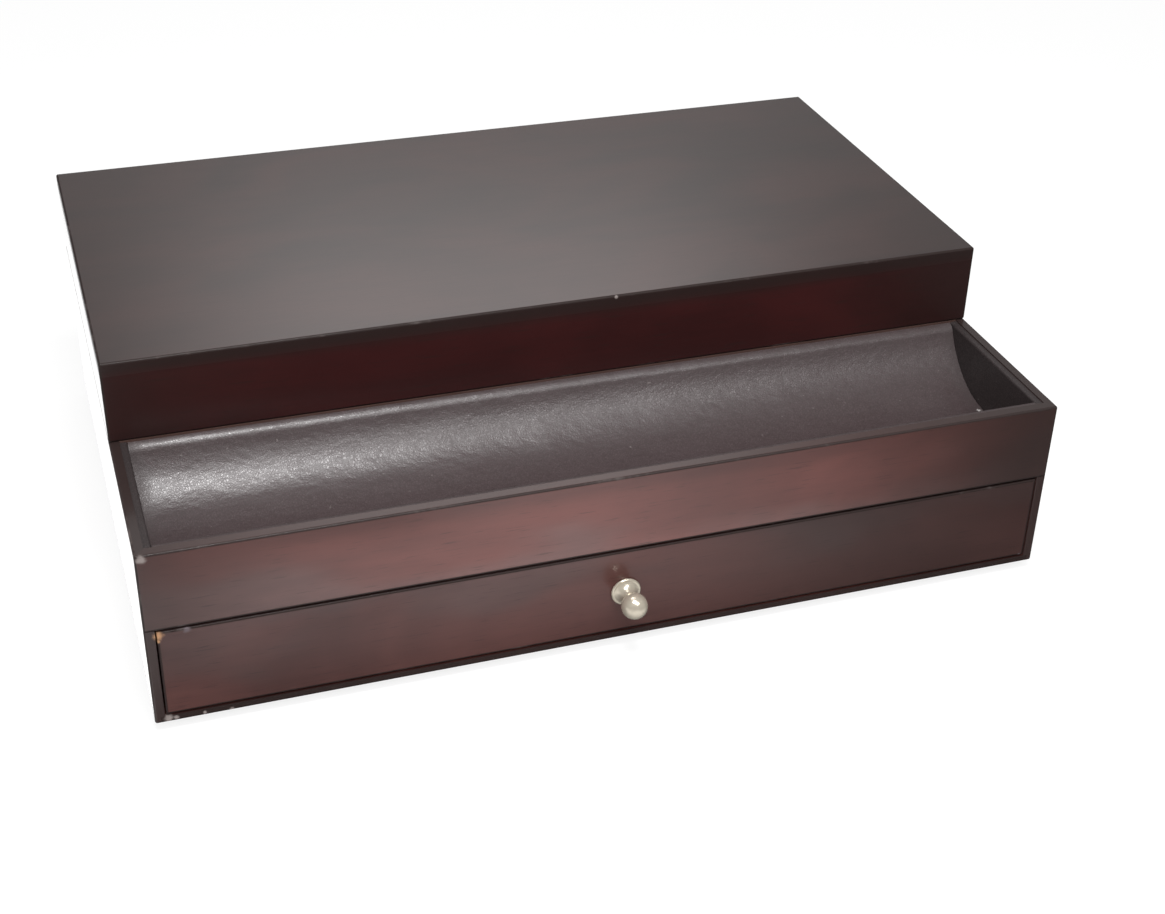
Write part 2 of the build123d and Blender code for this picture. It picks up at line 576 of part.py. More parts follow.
def knob():
    """The turned knob: a flange, a coved neck and a ball, with the screw that holds it."""
    neck_meets_ball = KNOB_BALL_CENTRE - math.sqrt(KNOB_BALL_RADIUS**2 - KNOB_NECK_RADIUS**2)
    rise = 1 - math.sqrt(0.5)
    cove_x = KNOB_NECK_RADIUS + (KNOB_COVE_RADIUS - KNOB_NECK_RADIUS) * rise
    cove_y = KNOB_FLANGE + (neck_meets_ball - KNOB_FLANGE) * rise
    ball_side = KNOB_BALL_RADIUS * math.cos(math.radians(20))
    ball_rise = KNOB_BALL_CENTRE + KNOB_BALL_RADIUS * math.sin(math.radians(20))
    rounded = KNOB_FLANGE / 2
    outline = (
        Polyline((0, 0), (KNOB_FLANGE_RADIUS - rounded, 0))
        + ThreePointArc(
            (KNOB_FLANGE_RADIUS - rounded, 0),
            (KNOB_FLANGE_RADIUS, rounded),
            (KNOB_FLANGE_RADIUS - rounded, KNOB_FLANGE),
        )
        + Line((KNOB_FLANGE_RADIUS - rounded, KNOB_FLANGE), (KNOB_COVE_RADIUS, KNOB_FLANGE))
        + ThreePointArc((KNOB_COVE_RADIUS, KNOB_FLANGE), (cove_x, cove_y), (KNOB_NECK_RADIUS, neck_meets_ball))
        + ThreePointArc((KNOB_NECK_RADIUS, neck_meets_ball), (ball_side, ball_rise), (0, KNOB_REACH))
        + Line((0, KNOB_REACH), (0, 0))
    )
    turned = revolve(make_face(outline), Axis.Y)
    placed = Pos(0, FRONT, KNOB_Z) * Rot(0, 0, 180) * turned
    bore = KNOB_SCREW_RADIUS + KNOB_SCREW_FIT
    save("knob", placed - rod_along_y(0, FRONT - KNOB_SCREW_BITE - KNOB_SCREW_FIT, FRONT, KNOB_Z, bore))
    screw = rod_along_y(0, FRONT - KNOB_SCREW_BITE, DRAWER_INNER_FRONT, KNOB_Z, KNOB_SCREW_RADIUS)
    head_end = DRAWER_INNER_FRONT + KNOB_SCREW_HEAD
    screw += rod_along_y(0, DRAWER_INNER_FRONT, head_end, KNOB_Z, KNOB_SCREW_HEAD_RADIUS)
    screw -= slab(
        -KNOB_SCREW_HEAD_RADIUS,
        KNOB_SCREW_HEAD_RADIUS,
        head_end - SLOT_DEPTH * 2,
        head_end,
        KNOB_Z - SLOT_WIDTH,
        KNOB_Z + SLOT_WIDTH,
    )
    save("knob_screw", screw)


os.makedirs("parts", exist_ok=True)
case_boards()
inner_boards()
feet()
pen_tray()
bay_lining()
bay_dividers()
watch_cushions()
lid_boards()
hinges()
drawer_boards()
drawer_stop()
knob()
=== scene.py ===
"""The looks of a lacquered watch box: its woods, linings, cushions and metal, and a small studio."""

import math
import random

import bmesh
import bpy
from bpy.props import FloatProperty, FloatVectorProperty, IntProperty, PointerProperty
from mathutils import Euler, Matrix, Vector, noise


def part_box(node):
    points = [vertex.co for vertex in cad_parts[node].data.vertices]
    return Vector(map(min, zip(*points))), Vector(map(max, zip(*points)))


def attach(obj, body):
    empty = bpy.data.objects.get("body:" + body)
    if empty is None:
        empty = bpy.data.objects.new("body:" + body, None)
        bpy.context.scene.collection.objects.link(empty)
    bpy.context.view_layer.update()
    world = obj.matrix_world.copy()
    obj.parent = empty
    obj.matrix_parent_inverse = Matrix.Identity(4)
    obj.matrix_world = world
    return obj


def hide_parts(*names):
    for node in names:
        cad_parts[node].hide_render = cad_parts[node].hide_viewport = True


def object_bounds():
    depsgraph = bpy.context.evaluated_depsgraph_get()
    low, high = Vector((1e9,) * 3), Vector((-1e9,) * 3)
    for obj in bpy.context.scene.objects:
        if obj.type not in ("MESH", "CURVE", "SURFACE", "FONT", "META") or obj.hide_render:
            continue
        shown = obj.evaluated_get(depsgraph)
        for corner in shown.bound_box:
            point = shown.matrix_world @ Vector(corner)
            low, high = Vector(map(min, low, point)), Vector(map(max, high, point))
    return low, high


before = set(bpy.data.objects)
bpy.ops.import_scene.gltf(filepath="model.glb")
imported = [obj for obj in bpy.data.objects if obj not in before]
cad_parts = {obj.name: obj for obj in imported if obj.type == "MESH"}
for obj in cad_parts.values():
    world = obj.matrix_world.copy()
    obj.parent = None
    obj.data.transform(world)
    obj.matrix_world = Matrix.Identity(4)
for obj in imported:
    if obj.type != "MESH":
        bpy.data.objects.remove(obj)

bl_info = {
    "name": "Lacquered Watch Box",
    "version": (1, 0, 0),
    "blender": (4, 5, 0),
    "location": "View3D > Sidebar > Watch Box",
    "description": "Finishes a watch box with a pen tray and a drawer, and lights it",
    "category": "Object",
}

MM = 0.001

# Corners and heights of the pieces, from the frame, in metres
START_LOW, START_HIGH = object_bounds()
TROUGH_LOW, TROUGH_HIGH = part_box("tray_trough")
LID_LOW, LID_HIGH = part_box("lid_top")
LID_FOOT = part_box("lid_front")[0].z
FRONT_LOW, FRONT_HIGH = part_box("drawer_front")
CASE_LOW, CASE_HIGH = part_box("side_panel_left")
HALF_WIDTH = LID_HIGH.x
RAIL_FOOT, RIM = (corner.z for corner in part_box("front_rail"))

# Meshes: sides of round shapes, cuts across long edges, and the bend from which an edge stays sharp
TROUGH_SIDES = 144
LIP_SIDES = 12
BEVEL_SIDES = 6
TROUGH_CUTS = 150
PAD_CUTS = 48
SHARP = math.radians(50)

# Frames in which the stuffing swells, and the numbers of the cushions and the cross dividers
STUFFING_FRAMES = 20
CUSHIONS = range(1, 11)
DIVIDERS = range(1, 5)

# Waves for each metre of the glued covering, long ones and short ones, and of the velvet
COVER_WAVES = (60, 190)
VELVET_WAVES = 30

# Colours of the dust and of the fleck on the leatherette
DUST = (0.30, 0.27, 0.26)
FLECK = (0.85, 0.82, 0.80)

# A board whose top has its own stain: the coat on its other faces, and its mirroring under the coat
SIDE_COAT = 0.25
UNDERCOAT = 0.6

# How far in from each end and flange of the trough its covering is darkened as painted shade, and how soft
# that change is
END_SHADE = (7 * MM, 1 * MM)
FLANGE_BLUR = 0.6 * MM

# Lamps: place, target and size, in metres
OVERHEAD_LAMP = ((-0.10, -0.42, 0.94), (-0.02, -0.05, 0.05), (0.34, 0.26))
KEY_LAMP = ((-0.75, -0.85, 0.75), (-0.05, -0.08, 0.05), (0.36, 0.36))
SIDE_LAMP = ((0.22, -0.64, 0.72), (0.05, -0.05, 0.05), (0.40, 0.26))

# The floor's width, in metres
FLOOR_SIZE = 14

# The floor's painted glow as the lacquer mirrors it, painted light and shade seen only in reflections: for
# each change, where it is nought and where it is full, in metres
LEFT_GAIN = (-0.165, -0.10)
# Painted contact shadow: the mirrored floor is dark right in front of the case
NEAR_GAIN = (CASE_LOW.y, CASE_LOW.y - 45 * MM)
FAR_LOSS = (-0.19, -0.205)
FAR_LEFT_LOSS = (-0.02, -0.06)
# Painted light: the mirrored floor is bright beside the left side
BESIDE = (START_LOW.x, START_LOW.x - 1 * MM)
BEYOND = (START_LOW.x - 11 * MM, START_LOW.x - 13 * MM)

# The soft light behind the box, in reflections: where it begins and where it ends, as slopes of a direction
PATCH_ACROSS = ((0.0, 0.20), (0.34, 0.58))
PATCH_UPWARD = ((0.37, 0.48), (0.49, 0.60))


def size_property(label, text, default):
    """A length that a user may change."""
    return FloatProperty(name=label, description=text, default=default, min=0, unit="LENGTH", precision=5)


def share_property(label, text, default):
    """A number from nought to one that a user may change."""
    return FloatProperty(name=label, description=text, default=default, min=0, max=1, subtype="FACTOR")


def place_property(label, text, default):
    """A place along X, in metres, that a user may change."""
    return FloatProperty(name=label, description=text, default=default, unit="LENGTH")


def level_property(label, text, default, unit="NONE"):
    """A level of light, or a lamp's power, that a user may change."""
    return FloatProperty(name=label, description=text, default=default, min=0, unit=unit)


def angle_property(label, text, degrees):
    """An angle that a user may change."""
    return FloatProperty(name=label, description=text, default=math.radians(degrees), subtype="ANGLE")


def colour_property(label, text, default):
    """A colour that a user may change."""
    return FloatVectorProperty(
        name=label, description=text, default=default, min=0, max=1, size=3, subtype="COLOR"
    )


class WoodSettings(bpy.types.PropertyGroup):
    """Stain and lacquer of the boards."""

    top_dark: colour_property("Top, dark", "Darkest stain of the lid's top", (0.008, 0.005, 0.0045))
    top_light: colour_property("Top, light", "Lightest stain of the lid's top", (0.053, 0.025, 0.022))
    lid_dark: colour_property("Lid, dark", "Darkest stain of the lid's sides", (0.016, 0.006, 0.006))
    lid_light: colour_property("Lid, light", "Lightest stain of the lid's sides", (0.048, 0.010, 0.010))
    case_dark: colour_property("Case, dark", "Darkest stain of the case", (0.056, 0.020, 0.017))
    case_light: colour_property("Case, light", "Lightest stain of the case", (0.158, 0.050, 0.042))
    drawer_dark: colour_property("Drawer, dark", "Darkest stain of the drawer", (0.032, 0.014, 0.013))
    drawer_light: colour_property("Drawer, light", "Lightest stain of the drawer", (0.10, 0.038, 0.033))
    bare: colour_property("Bare wood", "Wood that shows where the lacquer is chipped", (0.38, 0.21, 0.11))
    worn: colour_property("Worn", "Filler that shows where an edge is worn", (0.21, 0.18, 0.17))
    bloom: colour_property("Bloom", "Clouded lacquer", (0.10, 0.08, 0.088))
    # Edge is also the colour of the painted shade toward the ends and under the top edges; along the edges
    # it is partly gathered stain and partly painted shade of the gaps between boards
    edge: colour_property("Edge", "Stain that has gathered along the edges", (0.018, 0.011, 0.010))
    dull: colour_property("Dull stain", "Stain of the drawer's inner boards", (0.060, 0.030, 0.024))
    lacquer_roughness: share_property("Lacquer roughness", "Roughness under the clear coat", 0.36)
    coat_roughness: share_property("Coat roughness", "Roughness of the clear coat", 0.16)
    streak: size_property("Grain width", "Width of a streak of the grain", 0.9 * MM)
    rub: size_property("Rubbed width", "How far the rubbed edges reach", 1.1 * MM)
    skin: size_property("Skin", "How deep a face's own stain reaches", 0.9 * MM)
    # The crown is painted shade: a darker band under a board's top edge
    crown_shade_reach: size_property("Crown reach", "How far the dark stain reaches down from a top edge", 9 * MM)


class LeatheretteSettings(bpy.types.PropertyGroup):
    """Covering of the pen tray, the bay's boards and the dividers."""

    colour: colour_property("Colour", "Raised pebbles of the leatherette", (0.068, 0.050, 0.052))
    crease: colour_property("Crease", "Creases between the pebbles", (0.038, 0.027, 0.027))
    # The upright boards' darker covering is partly its own darker tone and partly painted shade for boards
    # standing in shadow
    board_colour: colour_property("Board colour", "Pebbles on the upright boards", (0.036, 0.027, 0.027))
    board_crease: colour_property("Board crease", "Creases on the upright boards", (0.018, 0.013, 0.013))
    pebble: size_property("Pebble", "Size of one pebble", 0.80 * MM)
    relief: size_property("Relief", "Depth of the creases", 0.019 * MM)
    roughness: share_property("Roughness", "Roughness of the pebbles", 0.25)
    unevenness: size_property("Unevenness", "How far the glued covering wanders", 0.12 * MM)
    shell: size_property("Shell", "Thickness of the trough", 2.5 * MM)
    front_flange: size_property("Front flange", "Width of the trough's front flange", 2.4 * MM)
    front_lip: size_property("Front lip", "Rounding of the trough's front lip", 1.0 * MM)
    rear_flange: size_property("Rear flange", "From the back of the trough to its rear lip", 1.95 * MM)
    rear_roll: size_property("Rear roll", "Radius of the rolled rear lip", 5.0 * MM)
    fleck: FloatVectorProperty(
        name="Fleck",
        description="A white fleck: X from the trough's right end, Y from the middle, Z from its bed",
        default=(-1.6 * MM, -70.5 * MM, 0),
        subtype="XYZ",
        unit="LENGTH",
    )
    fleck_radius: size_property("Fleck radius", "Size of the white fleck", 1.1 * MM)


class CushionSettings(bpy.types.PropertyGroup):
    """The stuffed cushions that hold the watches."""

    colour: colour_property("Colour", "Cover of the cushions", (0.070, 0.048, 0.046))
    crease: colour_property("Crease", "Creases in the cover", (0.026, 0.018, 0.018))
    rounding: size_property("Rounding", "Rounding of the two long upper edges before stuffing", 13 * MM)
    grid: size_property("Grid", "Mesh size for the stuffing simulation", 4 * MM)
    slack: size_property("Slack", "How much smaller the unstuffed shape is, each way", 2.2 * MM)
    pressure: FloatProperty(name="Pressure", description="Push of the stuffing", default=4, min=0)
    swell: size_property("Swell", "The furthest that stuffing may move the cover", 4 * MM)
    footing: size_property("Footing", "How far the flat underside stands over the pocket's floor", 0.3 * MM)
    welt: size_property("Welt", "Radius of the corded seam round each end", 0.75 * MM)
    welt_inset: size_property("Welt inset", "Place of the seam, in from each end", 4.2 * MM)


class VelvetSettings(bpy.types.PropertyGroup):
    """The velvet pads in the lid, the bay and the drawer."""

    colour: colour_property("Colour", "Pile seen from above", (0.050, 0.034, 0.033))
    shade: colour_property("Shade", "Pile brushed the other way", (0.022, 0.014, 0.014))
    sheen: colour_property("Sheen", "Pile seen along its slant", (0.55, 0.45, 0.43))
    edge: size_property("Edge", "Rounding of the pad's edge", 0.7 * MM)
    ripple: size_property("Ripple", "How far the pad's face wanders", 0.15 * MM)


class MetalSettings(bpy.types.PropertyGroup):
    """The knob, the hinges, the screws and the rubber feet."""

    nickel: colour_property("Nickel", "Satin nickel of the knob", (0.60, 0.54, 0.44))
    brass: colour_property("Brass", "Brass of the hinges", (0.70, 0.50, 0.22))
    steel: colour_property("Steel", "Plated screws", (0.55, 0.55, 0.54))
    rubber: colour_property("Rubber", "Feet", (0.018, 0.018, 0.018))


class StageSettings(bpy.types.PropertyGroup):
    """The floor, the lamps and the camera."""

    floor: colour_property("Floor", "Floor and backdrop", (0.86, 0.86, 0.86))
    floor_glow: share_property("Floor glow", "How far the floor turns white to the eye", 0.78)
    white: level_property("White", "Level of the floor's white", 1.08)
    # Floor dim, the shade places and grazing set the painted light and shade that the floor gives off in
    # reflections
    floor_dim: share_property("Floor dim", "Floor on the shaded sides, in reflections", 0.08)
    shade_left: place_property("Shade left", "Where the floor starts to dim, in reflections", 0.0)
    shade_right: place_property("Shade right", "Where the floor is dimmest, in reflections", 0.20)
    grazing: level_property("Grazing", "More light on the floor beside the left side", 0.9)
    dim: share_property("Dim room", "Brightness of the room in reflections", 0.30)
    patch: level_property("Patch", "Soft light behind the box, in reflections", 1.7)
    fill: share_property("Fill", "Brightness of the room on dull surfaces", 0.42)
    overhead: level_property("Overhead", "Power of the lamp over the tray", 9.3, "POWER")
    key: level_property("Key", "Power of the lamp at the front left", 2.6, "POWER")
    side: level_property("Side", "Power of the faint lamp at the front right", 2.2, "POWER")
    azimuth: angle_property("Azimuth", "Turn of the camera", -19.11)
    elevation: angle_property("Elevation", "Tilt of the camera", 32.08)
    roll: angle_property("Roll", "Roll of the camera", 1.41)
    camera_place: FloatVectorProperty(
        name="Camera", description="Place of the camera", default=(-0.1811, -0.58265, 0.3954), subtype="XYZ"
    )
    lens: FloatProperty(name="Lens", description="Focal length in millimetres", default=56.73, min=1)
    seed: IntProperty(name="Seed", description="Seed of the cushions' small differences", default=7)


class WatchBoxSettings(bpy.types.PropertyGroup):
    """All the sizes and colours of the watch box."""

    wood: PointerProperty(type=WoodSettings)
    leatherette: PointerProperty(type=LeatheretteSettings)
    cushion: PointerProperty(type=CushionSettings)
    velvet: PointerProperty(type=VelvetSettings)
    metal: PointerProperty(type=MetalSettings)
    stage: PointerProperty(type=StageSettings)


class Wire:
    """An output of a shader node, with arithmetic for the numbers that it carries."""

    def __init__(self, finish, socket):
        self.finish = finish
        self.socket = socket

    def __add__(self, other):
        return self.finish.math("ADD", self, other)

    __radd__ = __add__

    def __sub__(self, other):
        return self.finish.math("SUBTRACT", self, other)

    def __rsub__(self, other):
        return self.finish.math("SUBTRACT", other, self)

    def __mul__(self, other):
        return self.finish.math("MULTIPLY", self, other)

    def __truediv__(self, other):
        return self.finish.math("DIVIDE", self, other)

    def __abs__(self):
        return self.finish.math("ABSOLUTE", self)


class Finish:
    """A material in the making: one method adds any node, and the rest are short names for common ones."""

    def __init__(self, name, owner=None):
        self.owner = owner or bpy.data.materials.new(name)
        self.owner.use_nodes = True
        self.tree = self.owner.node_tree
        self.tree.nodes.clear()

    def node(self, kind, settings=None, sockets=None, output=0):
        """Add a node: its settings first, then the values or links of its sockets."""
        made = self.tree.nodes.new(kind)
        for name, value in (settings or {}).items():
            if name == "stops":
                self.fill_ramp(made.color_ramp, value)
            else:
                setattr(made, name, value)
        for name, value in (sockets or {}).items():
            if isinstance(value, Wire):
                self.tree.links.new(value.socket, made.inputs[name])
            else:
                made.inputs[name].default_value = value
        return Wire(self, made.outputs[output]) if len(made.outputs) else made

    def fill_ramp(self, ramp, stops):
        """Give a ramp its stops, each a place and a grey level."""
        while len(ramp.elements) < len(stops):
            ramp.elements.new(1)
        for element, (place, level) in zip(ramp.elements, stops):
            element.position = place
            element.color = (level, level, level, 1)

    def math(self, operation, *values):
        """A sum of numbers and wires."""
        return self.node("ShaderNodeMath", {"operation": operation}, dict(enumerate(values)))

    def place(self, stretch=(1, 1, 1), shift=(0, 0, 0)):
        """The point on the object in metres, stretched and shifted."""
        point = self.node("ShaderNodeTexCoord", output="Object")
        return self.node("ShaderNodeMapping", {}, {"Vector": point, "Location": shift, "Scale": stretch})

    def axes(self, kind="Object"):
        """The point's x, y and z, in metres, or a direction's."""
        point = self.node("ShaderNodeTexCoord", output=kind)
        return [self.node("ShaderNodeSeparateXYZ", {}, {0: point}, axis) for axis in "XYZ"]

    def cloud(self, place, scale, detail=2.0, roughness=0.5, distortion=0.0):
        """Soft noise from nought to one."""
        sockets = {"Vector": place, "Scale": scale, "Detail": detail, "Roughness": roughness}
        return self.node("ShaderNodeTexNoise", {}, {**sockets, "Distortion": distortion})

    def cells(self, place, scale):
        """Distance from the borders of a pattern of random cells."""
        settings = {"feature": "DISTANCE_TO_EDGE"}
        return self.node("ShaderNodeTexVoronoi", settings, {"Vector": place, "Scale": scale}, "Distance")

    def step(self, value, low, high):
        """A smooth step from nought at low to one at high."""
        sockets = {"Value": value, "From Min": low, "From Max": high}
        return self.node("ShaderNodeMapRange", {"interpolation_type": "SMOOTHSTEP"}, sockets)

    def blend(self, share, first, second):
        """A mix of two colours."""
        settings = {"data_type": "RGBA", "clamp_factor": True}
        colours = [c if isinstance(c, Wire) else (*c, 1) for c in (first, second)]
        return self.node("ShaderNodeMix", settings, {0: share, 6: colours[0], 7: colours[1]}, 2)

    def rays(self):
        """Whether the light goes straight to the eye, and whether by way of a mirror."""
        return [self.node("ShaderNodeLightPath", output=f"Is {kind} Ray") for kind in ("Camera", "Glossy")]

    def bump(self, height, distance, normal=None):
        """A normal that follows a height."""
        sockets = {"Height": height, "Distance": distance, "Strength": 1.0}
        if normal:
            sockets["Normal"] = normal
        return self.node("ShaderNodeBump", {}, sockets)

    def shade(self, sockets):
        """End the material in one shader."""
        surface = self.node("ShaderNodeBsdfPrincipled", {}, sockets)
        self.node("ShaderNodeOutputMaterial", {}, {"Surface": surface})
        return self.owner


def lacquer(
    name,
    stain,
    low,
    high,
    wood,
    grain="X",
    ends=0.5,
    lean=0.0,
    crown=0.0,
    coat=1.0,
    cuts=(0, 0),
    face=None,
    chips=(),
):
    """Stained wood under a satin clear coat, on the box from low to high, with dark and rubbed edges.

    Toward both ends of X the colour is darkened by the share of ends, least where lean says: painted shade
    for the light falling off toward the sides. Under the top edge it is darkened by the share of crown, also
    painted shade. The shares in cuts darken the top and the front face. Along the edges it is darker, partly
    from gathered stain and partly as painted shade of the gaps between boards. Face gives the stain of the
    top
    face where it is another one: only that face then has the full coat, and it has no crown.
    """
    finish = Finish(name)
    along = (0.05, 1.0, 1.0) if grain == "X" else (1.0, 0.05, 1.0)
    softly = (0.5, 1.0, 1.0) if grain == "X" else (1.0, 0.5, 1.0)
    x, y, z = finish.axes()
    figure = finish.cloud(finish.place(softly, (0.03, 0, 0)), 22, 3, 0.55, 0.6)
    streaks = finish.cloud(finish.place(along), 1 / wood.streak, 3, 0.6)
    lines = finish.cloud(finish.place(along, (3, 5, 7)), 0.32 / wood.streak, 2, 0.5)
    pores = finish.cloud(finish.place([1.6 * share for share in along], (9, 1, 4)), 1 / wood.streak)
    pore = finish.step(pores, 0.60, 0.72)
    # Painted shade: darker toward both ends of X, least at lean, where the light falls off toward the sides
    painted_end_shade = finish.step(abs(x - lean) / HALF_WIDTH, 0.45, 1.05) * ends
    # Painted shade: a darker band under the top edge
    crown_shade = finish.step(z, high.z - wood.crown_shade_reach, high.z - 2 * MM) * crown
    edge = near_edge(finish, (x, y, z), low, high, wood.rub)
    cut = finish.step(z, high.z - wood.skin, high.z - 0.2 * MM) * cuts[0]
    cut = cut + finish.step(y, low.y + wood.skin, low.y + 0.2 * MM) * cuts[1]
    dull = finish.math("MAXIMUM", edge, cut)
    tone = finish.step(figure, 0.28, 0.72) * 0.5 + streaks * 0.16 + lines * 0.14 + 0.12
    dark, light = stain
    shine, under = coat, coat
    if face:
        above = finish.step(z, high.z - wood.skin, high.z - 0.3 * MM)
        shine, under = above * (coat - SIDE_COAT) + SIDE_COAT, UNDERCOAT * coat
        crown_shade = crown_shade * (1 - above)
        dark, light = (finish.blend(above, side, top) for side, top in zip(stain, face))
    colour = finish.blend(tone, dark, light)
    browned = finish.cloud(finish.place(softly, (2, 6, 3)), 34, 2, 0.5) - abs(z - RAIL_FOOT) * 12
    browned = finish.step(browned, 0.30, 0.58)
    brown = finish.node("ShaderNodeHueSaturation", {}, {"Color": colour, "Saturation": 0.62, "Value": 0.92})
    colour = finish.blend(browned * 0.6, colour, brown)
    colour = finish.blend(finish.math("MAXIMUM", painted_end_shade, crown_shade), colour, wood.edge)
    colour = finish.blend(pore * 0.45, colour, wood.edge)
    # Darker along the edges, partly stain gathered there and partly painted shade of the gaps between
    # boards; cuts darken the cut faces
    colour = finish.blend(dull * 0.95, colour, wood.edge)
    rubbed = edge * finish.step(finish.cloud(finish.place(), 60, 4, 0.7), 0.56, 0.74)
    colour = finish.blend(rubbed * 0.3, colour, wood.worn)
    bare = 0
    for place, radius, tint in chips:
        spot = chip(finish, place, radius)
        colour = finish.blend(spot, colour, tint)
        bare = spot + bare
    wander = finish.cloud(finish.place(), 130, 2, 0.5)
    sand = finish.cloud(finish.place([0.3 if share < 1 else 1 for share in along]), 900, 2, 0.6)
    height = wander * 0.6 + streaks * 0.2 - pore * 0.25 + sand * 0.12 - bare
    return finish.shade(
        {
            "Base Color": colour,
            "Roughness": finish.step(figure, 0.2, 0.8) * 0.08 + wood.lacquer_roughness + dull * 0.25,
            "Specular IOR Level": 0.25 * under,
            "Coat Weight": (1 - edge * 0.9 - bare) * shine,
            "Coat Roughness": wood.coat_roughness,
            "Coat IOR": 1.5,
            "Normal": finish.bump(height, 0.02 * MM),
        }
    )


def near_edge(finish, point, low, high, width):
    """One along every edge of the box from low to high, and nought away from them."""
    closeness = []
    for axis, a, b in zip(point, low, high):
        middle, half = (a + b) / 2, (b - a) / 2
        closeness.append(finish.step(abs(axis - middle), half - width, half))
    x, y, z = closeness
    return finish.step(finish.math("MAXIMUM", finish.math("MAXIMUM", x * y, x * z), y * z), 0.05, 0.5)


def chip(finish, place, radius):
    """A ragged chip round one place."""
    point = finish.node("ShaderNodeTexCoord", output="Object")
    away = finish.node(
        "ShaderNodeVectorMath", {"operation": "DISTANCE"}, {0: point, 1: place}, "Value"
    )
    ragged = finish.cloud(finish.place(), 0.9 / radius, 3, 0.6) * radius
    return 1 - finish.step(away + ragged, radius * 0.7, radius * 1.5)


def dull_board(name, colour, grain="X"):
    """Stained board with a dull finish, as inside a drawer."""
    finish = Finish(name)
    stretch = (0.06, 1, 1) if grain == "X" else (1, 0.06, 1)
    streaks = finish.cloud(finish.place(stretch), 900, 3, 0.6)
    figure = finish.cloud(finish.place(stretch), 120, 2, 0.5, 0.4)
    tone = streaks * 0.6 + figure * 0.5
    dark = [c * 0.45 for c in colour]
    return finish.shade(
        {
            "Base Color": finish.blend(tone, dark, [c * 1.35 for c in colour]),
            "Roughness": 0.52 + streaks * 0.2,
            "Normal": finish.bump(streaks, 0.03 * MM),
        }
    )


def leatherette(name, colours, pebble_size, relief, roughness, flecks=(), box=None, flange=0):
    """Embossed covering: small pebbles parted by creases, with soft wandering over a wider span.

    In a box, the covering is darker and duller along both ends of X and on a flange along its front: painted
    shade where the end boards and the rail's edge shade it.
    """
    finish = Finish(name)
    scale = 1 / pebble_size
    warp = finish.cloud(finish.place(), scale * 0.6, 2, 0.5)
    point = finish.node("ShaderNodeTexCoord", output="Object")
    moved = finish.node(
        "ShaderNodeVectorMath", {"operation": "MULTIPLY_ADD"}, {0: warp, 1: (MM, MM, MM), 2: point}
    )
    creases = finish.cells(moved, scale)
    pebble = finish.step(creases, 0.02, 0.32)
    fine = finish.cloud(finish.place(), scale * 3.2, 2, 0.6)
    broad = finish.cloud(finish.place((0.6, 1, 1)), 95, 3, 0.55)
    dust = finish.step(finish.cloud(finish.place(), 700, 1, 0.4), 0.765, 0.80)
    colour = finish.blend(pebble * 0.75 + broad * 0.3, *colours)
    colour = finish.blend(dust * 0.25, colour, DUST)
    spot = 0
    for place, radius in flecks:
        spot = chip(finish, place, radius) + spot
    colour = finish.blend(spot, colour, FLECK)
    deep = 0
    if box:
        x, y = finish.axes()[:2]
        trough_end_shade = finish.step(abs(x), *(box[1].x - inset for inset in END_SHADE))
        flange_edge = box[0].y + flange
        flange_shade = finish.step(y, flange_edge + FLANGE_BLUR, flange_edge - FLANGE_BLUR)
        # Painted shade: the covering darkens toward the trough's ends and on its front flange
        deep = finish.math("MAXIMUM", trough_end_shade, flange_shade)
        colour = finish.blend(deep * 0.6, colour, colours[0])
    height = pebble * 0.75 + fine * 0.25
    close = finish.cloud(finish.place((0.7, 1, 1), (1, 2, 3)), 420, 2, 0.55)
    wander = finish.bump(broad + close * 0.55, 0.22 * MM)
    return finish.shade(
        {
            "Base Color": colour,
            "Roughness": close * 0.16 - 0.08 + roughness + (1 - pebble) * 0.12 + fine * 0.06 + deep * 0.2,
            "Normal": finish.bump(height, relief, wander),
        }
    )


def velvet(name, settings):
    """Short pile, brushed a little one way and the other."""
    finish = Finish(name)
    brushed = finish.cloud(finish.place(), 38, 3, 0.55, 0.5)
    pile = finish.cloud(finish.place(), 2600, 2, 0.7)
    tone = finish.step(brushed, 0.35, 0.68) * 0.6 + pile * 0.5
    return finish.shade(
        {
            "Base Color": finish.blend(tone, settings.shade, settings.colour),
            "Roughness": 0.85 + pile * 0.1,
            "Sheen Weight": 0.55,
            "Sheen Roughness": 0.35,
            "Sheen Tint": (*settings.sheen, 1),
            "Normal": finish.bump(pile, 0.10 * MM),
        }
    )


def polished(name, colour, roughness, smudge, metallic=1.0):
    """Bright metal with faint smudges and turning marks."""
    finish = Finish(name)
    film = finish.cloud(finish.place(), 420, 3, 0.6)
    marks = finish.cloud(finish.place((1, 14, 1)), 700, 2, 0.5)
    return finish.shade(
        {
            "Base Color": finish.blend(film * 0.25, colour, [c * 0.8 for c in colour]),
            "Metallic": metallic,
            "Roughness": film * smudge + roughness,
            "Normal": finish.bump(marks, 0.002 * MM),
        }
    )


def rubber(name, colour):
    """Matt rubber with a moulded grain."""
    finish = Finish(name)
    grain = finish.cloud(finish.place(), 1500, 2, 0.6)
    return finish.shade(
        {
            "Base Color": finish.blend(grain * 0.6, colour, [c * 1.8 for c in colour]),
            "Roughness": grain * 0.15 + 0.7,
            "Normal": finish.bump(grain, 0.05 * MM),
        }
    )


def give(material, *names):
    """Put one material on pieces or frame nodes, by name."""
    for name in names:
        piece = bpy.data.objects[name]
        piece.data.materials.clear()
        piece.data.materials.append(material)


def deselect():
    """Leave nothing selected."""
    bpy.ops.object.select_all(action="DESELECT")


def select_only(piece):
    """Make a piece the active one and the only one selected."""
    deselect()
    piece.select_set(True)
    bpy.context.view_layer.objects.active = piece


def double(piece, name):
    """A copy of a piece with its own mesh."""
    copy = piece.copy()
    copy.data = piece.data.copy()
    bpy.context.collection.objects.link(copy)
    copy.name = name
    return copy


